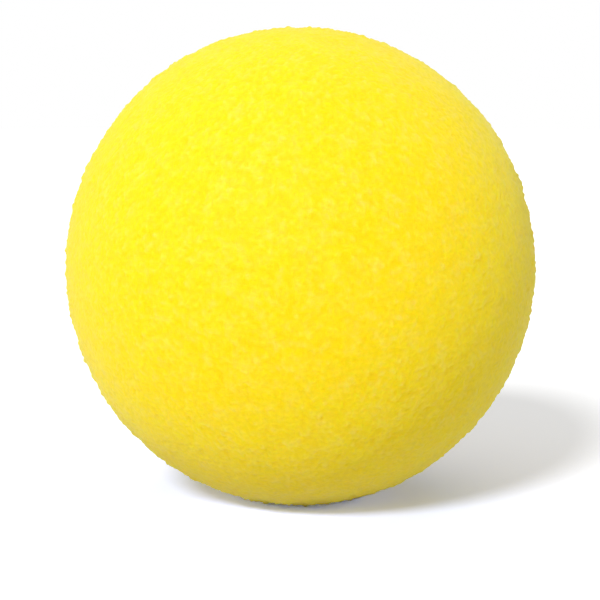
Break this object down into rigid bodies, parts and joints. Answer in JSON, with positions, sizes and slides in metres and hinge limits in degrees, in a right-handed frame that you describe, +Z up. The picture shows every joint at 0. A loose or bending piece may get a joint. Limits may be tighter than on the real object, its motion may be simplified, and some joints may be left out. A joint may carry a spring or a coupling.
{
  "type": "foam ball",
  "caption": "Soft yellow open-cell foam ball cut in one piece, for throwing, catching and batting, lying on the small flat that its own weight presses into it.",
  "frame": {"origin": "On the floor, in the middle of the flat patch that the ball rests on", "axes": "+Z up through the ball's centre to its crown; the ball is the same all round Z, so X and Y are free"},
  "size_m": [0.07, 0.07, 0.071],
  "materials": {
    "yellow_foam": "matte"
  },
  "bodies": {
    "root": {"foam_ball": "yellow_foam"}
  },
  "joints": []
}
